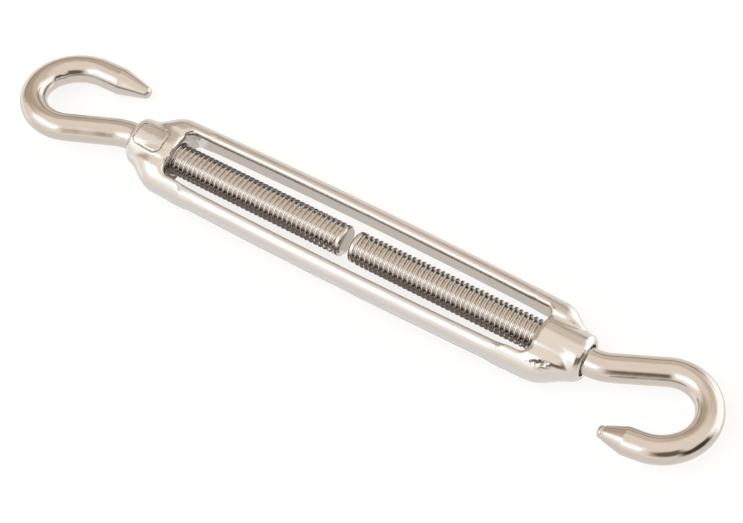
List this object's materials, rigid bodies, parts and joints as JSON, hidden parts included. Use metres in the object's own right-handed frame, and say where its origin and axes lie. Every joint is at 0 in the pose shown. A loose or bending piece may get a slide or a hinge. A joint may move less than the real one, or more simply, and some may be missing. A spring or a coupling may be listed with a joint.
{
  "type": "rigging turnbuckle",
  "caption": "Open-frame turnbuckle with a hook at each end, for taking up and locking tension in a rope, wire or shroud.",
  "frame": {"origin": "middle of the frame, on the thread axis", "axes": "+X along the thread axis towards the right-hand threaded hook, +Z square to the plane of the two rails, +Y from the near rail to the far rail"},
  "size_m": [0.149, 0.0254, 0.0101],
  "materials": {
    "cast_steel": "polished stainless casting",
    "hook_steel": "polished stainless wire with rolled thread"
  },
  "bodies": {
    "frame": {"frame": "cast_steel"},
    "right_travel": {"right_rod_tip": "hook_steel"},
    "right_hook": {"right_hook": "hook_steel"},
    "left_travel": {"left_rod_tip": "hook_steel"},
    "left_hook": {"left_hook": "hook_steel"}
  },
  "joints": [
    {"name": "right_screw_travel", "type": "slide", "parent": "frame", "child": "right_travel", "axis": [1, 0, 0], "range_m": [-0.0006, 0.036]},
    {"name": "right_screw_turn", "type": "hinge", "parent": "right_travel", "child": "right_hook", "pos_m": [0.0014, 0, 0], "axis": [1, 0, 0], "range_deg": [-216, 12960]},
    {"name": "left_screw_travel", "type": "slide", "parent": "frame", "child": "left_travel", "axis": [-1, 0, 0], "range_m": [-0.0006, 0.036]},
    {"name": "left_screw_turn", "type": "hinge", "parent": "left_travel", "child": "left_hook", "pos_m": [-0.0029, 0, 0], "axis": [1, 0, 0], "range_deg": [-216, 12960]}
  ],
  "couplings": [
    {"joint": "right_screw_travel", "follows": "right_screw_turn", "m_per_rad": 0.00015915},
    {"joint": "left_screw_travel", "follows": "left_screw_turn", "m_per_rad": 0.00015915}
  ]
}
